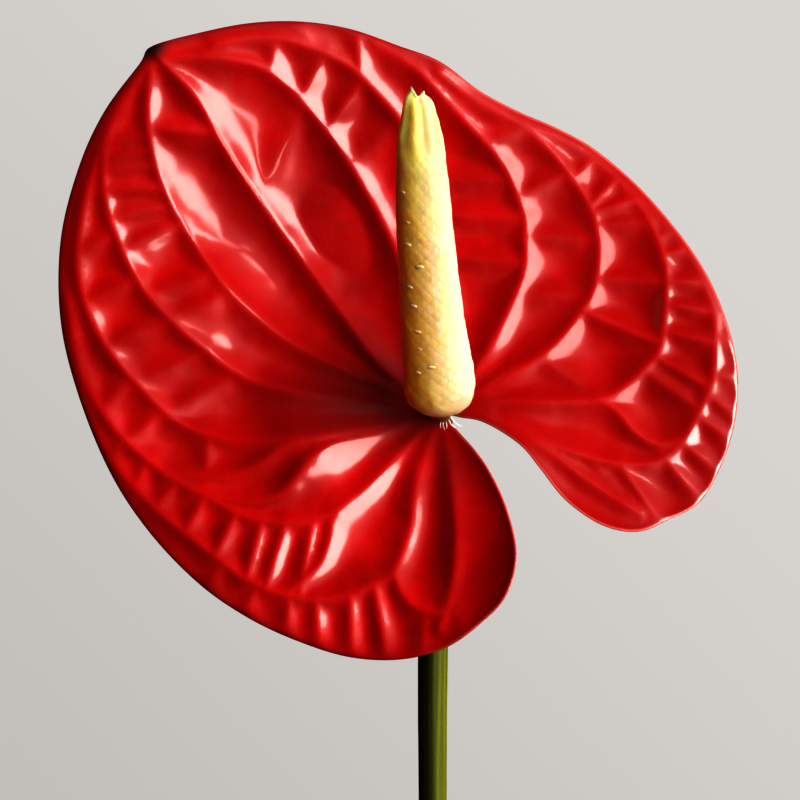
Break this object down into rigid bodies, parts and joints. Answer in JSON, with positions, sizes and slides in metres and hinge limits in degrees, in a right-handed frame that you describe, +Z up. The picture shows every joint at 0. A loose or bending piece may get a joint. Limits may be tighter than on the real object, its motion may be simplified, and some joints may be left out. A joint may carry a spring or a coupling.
{
  "type": "anthurium cut flower",
  "caption": "Cut anthurium lying down: glossy red heart-shaped spathe with raised veins, a cream spadix and a green stem.",
  "frame": {"origin": "on the surface that the flower lies on, under the middle of the whole flower", "axes": "+Y from the stem's cut end to the top of the bloom, +X to the right of the bloom seen from above, +Z up"},
  "size_m": [0.136, 0.3394, 0.0479],
  "materials": {
    "spathe": "waxy glossy red leaf skin",
    "spadix": "satin cream, greener at the tip",
    "stem": "satin olive green"
  },
  "bodies": {
    "root": {"spathe": "spathe", "spadix": "spadix", "stem": "stem"}
  },
  "joints": []
}
